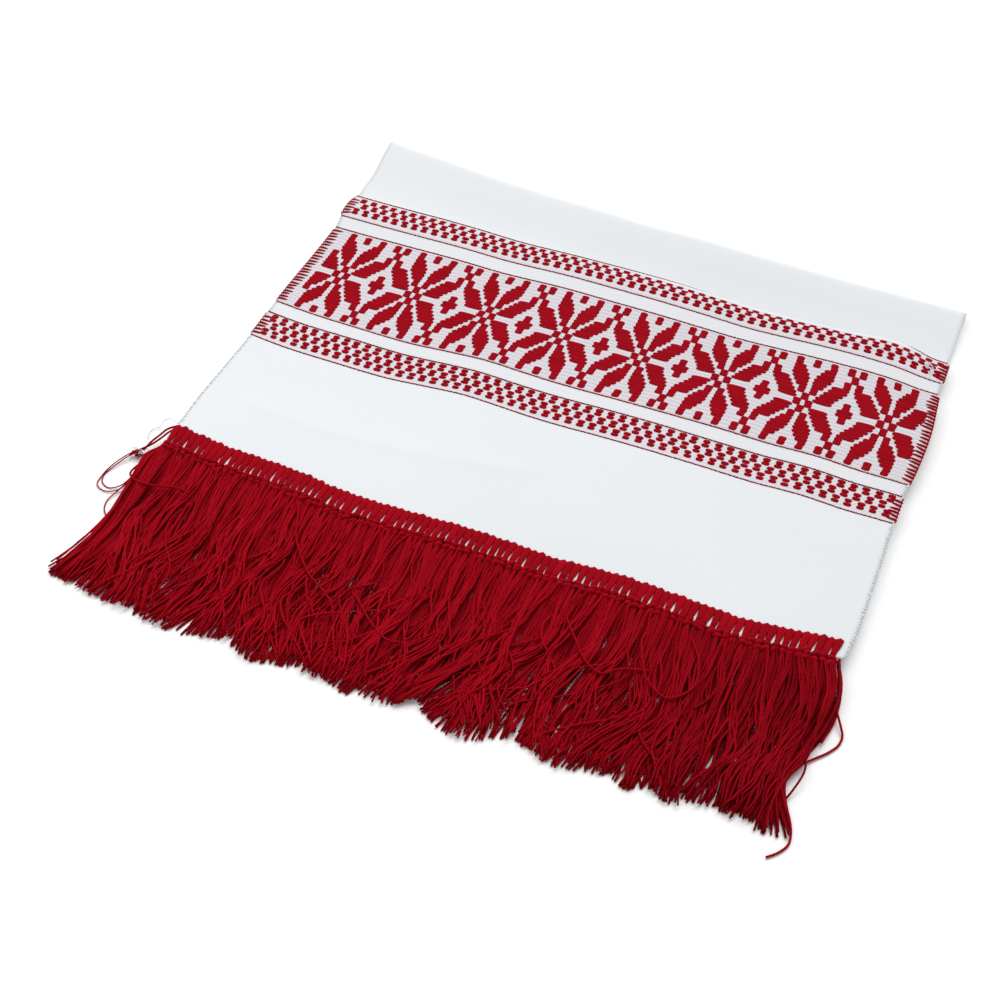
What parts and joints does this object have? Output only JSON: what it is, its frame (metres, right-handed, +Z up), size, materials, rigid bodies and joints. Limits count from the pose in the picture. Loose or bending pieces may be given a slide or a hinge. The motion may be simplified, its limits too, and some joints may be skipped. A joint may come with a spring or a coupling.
{
  "type": "rushnyk ritual towel",
  "caption": "Woven white towel with a red star band and a red yarn fringe, folded back and forth and lying flat, fringed end to the front.",
  "frame": {"origin": "middle of the towel's bounding box, on the surface that it lies on", "axes": "+X across the cloth from selvedge to selvedge, -Y towards the fringed end, +Z up"},
  "size_m": [0.3646, 0.3779, 0.011],
  "materials": {
    "white_cotton": "matte plain weave",
    "red_yarn": "matte twisted yarn"
  },
  "bodies": {
    "root": {"cloth": "white_cotton", "fringe": "red_yarn"}
  },
  "joints": []
}
